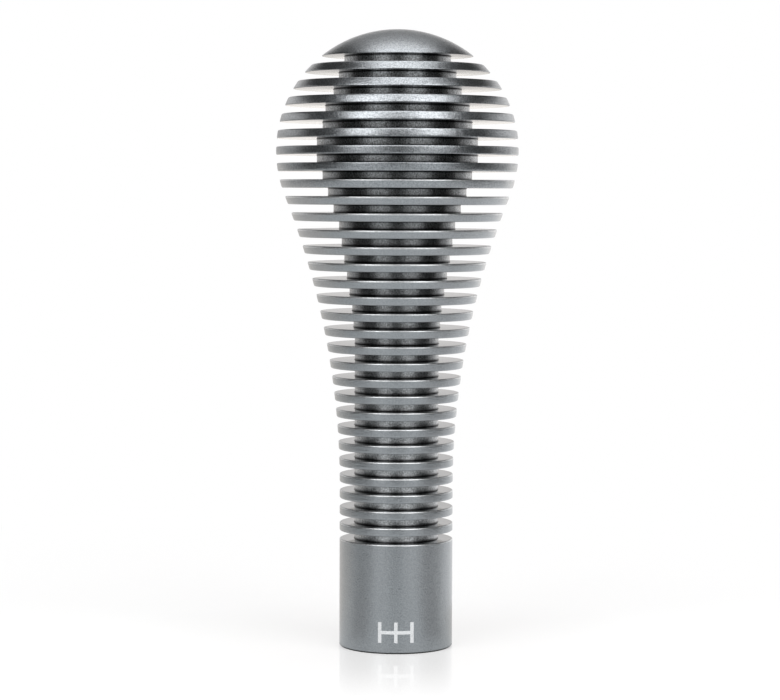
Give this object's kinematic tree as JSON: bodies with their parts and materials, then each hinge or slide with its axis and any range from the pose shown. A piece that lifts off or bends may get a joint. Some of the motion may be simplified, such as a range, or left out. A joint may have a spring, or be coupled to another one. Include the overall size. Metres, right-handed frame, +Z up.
{
  "type": "gear shift knob",
  "caption": "Ball-headed turned aluminium gear shift knob with cooling-fin grooves down to a plain collar, and a threaded brass bush for the lever in its foot.",
  "frame": {"origin": "middle of the foot, on the knob's turning axis", "axes": "+Z up along the turning axis, from the foot to the dome; the pictured side faces -Y"},
  "size_m": [0.047, 0.047, 0.12],
  "materials": {
    "anodised_body": "bead-blasted, gunmetal grey anodised, satin",
    "brass_bush": "machined, semi-bright"
  },
  "bodies": {
    "root": {"knob_body": "anodised_body", "thread_bush": "brass_bush"}
  },
  "joints": []
}
